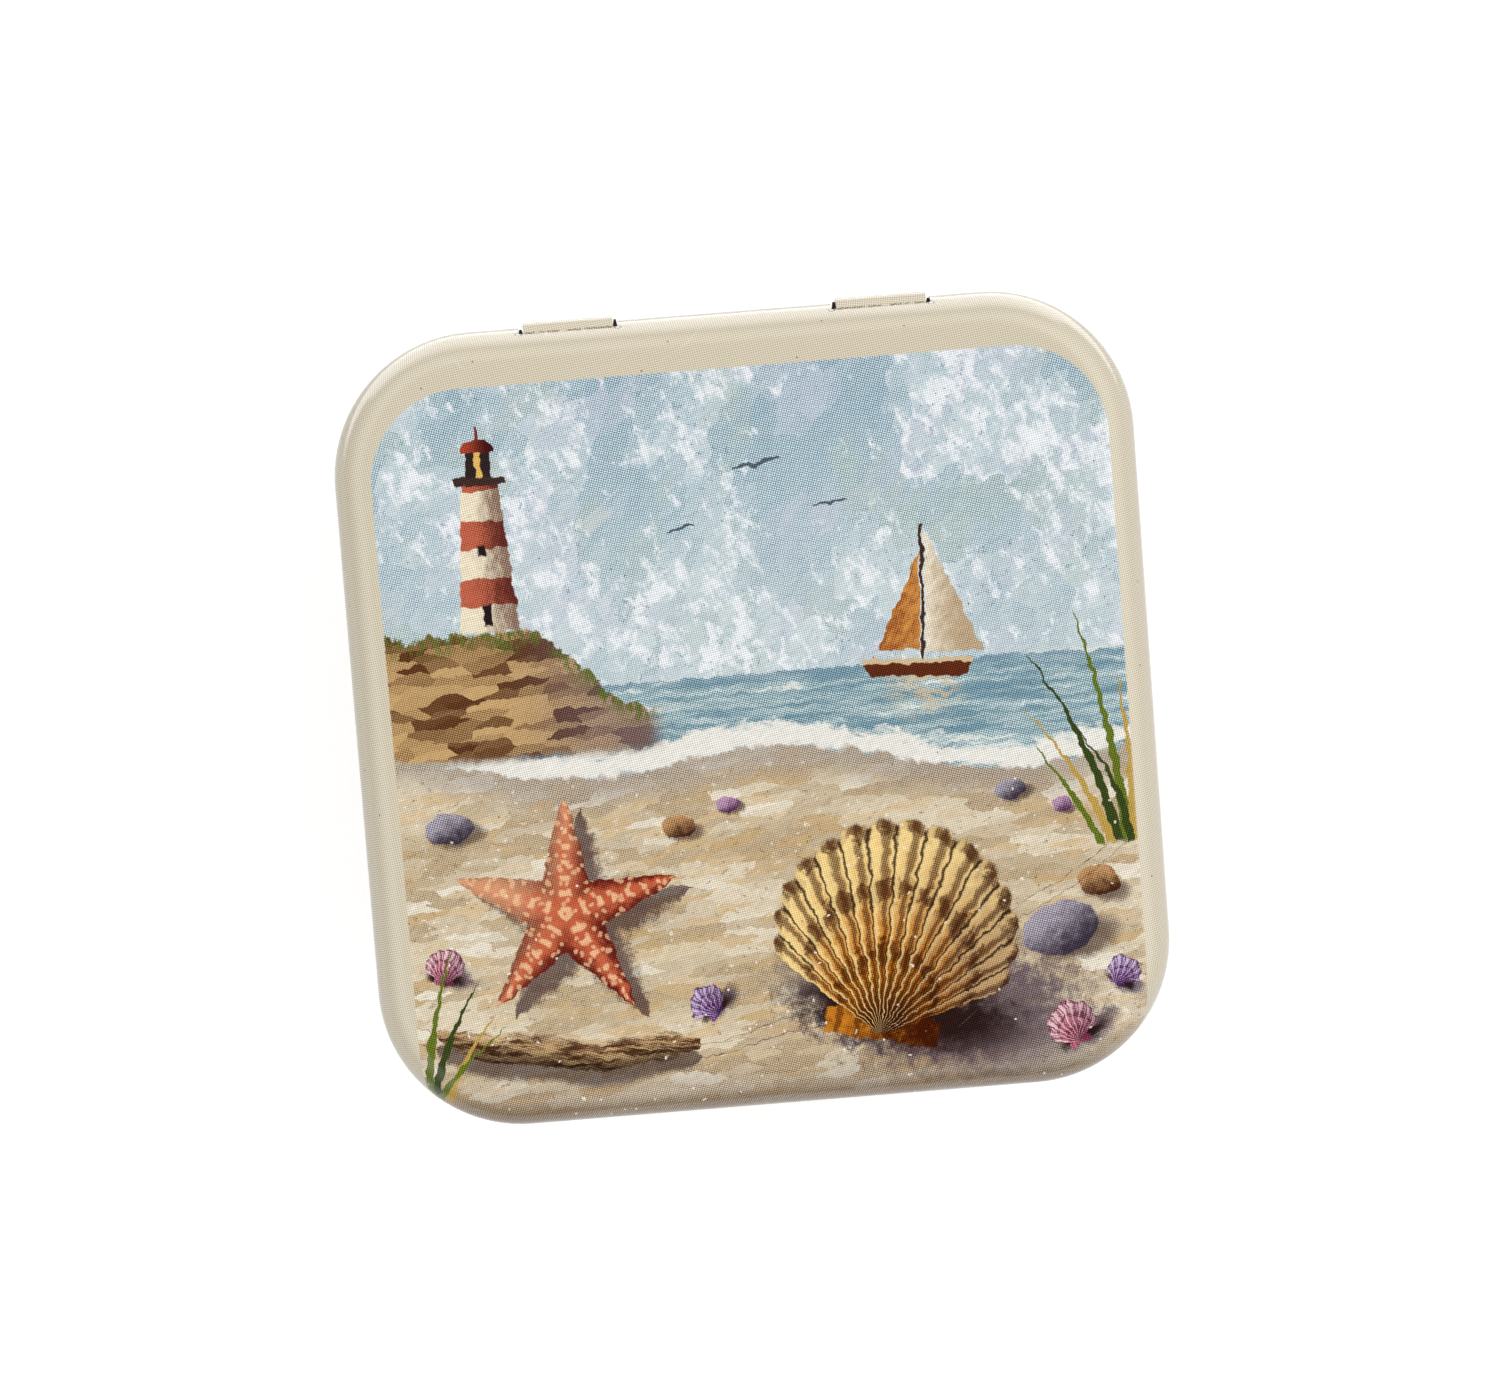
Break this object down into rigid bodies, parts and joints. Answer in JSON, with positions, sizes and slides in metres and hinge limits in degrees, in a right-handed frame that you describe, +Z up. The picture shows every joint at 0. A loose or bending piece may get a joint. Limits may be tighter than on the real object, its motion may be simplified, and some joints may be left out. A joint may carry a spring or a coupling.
{
  "type": "sewing tin",
  "caption": "Small square hinged tin of printed tinplate with rounded corners, for needles, thread and other sewing notions.",
  "frame": {"origin": "middle of the closed tin's underside, at the height of the surface that it stands on", "axes": "+Z up through the lid, +Y to the hinge at the back, +X to the right seen from the front"},
  "size_m": [0.06, 0.0604, 0.02],
  "materials": {
    "printed_base": "glossy varnish over a printed cream, bare lacquered tinplate inside",
    "printed_lid": "glossy varnish over a printed picture with a cream border, bare lacquered tinplate inside"
  },
  "bodies": {
    "base": {"base": "printed_base"},
    "lid": {"lid": "printed_lid"}
  },
  "joints": [
    {"name": "lid_hinge", "type": "hinge", "parent": "base", "child": "lid", "pos_m": [0, 0.02861, 0.01677], "axis": [-1, 0, 0], "range_deg": [0, 105]}
  ]
}
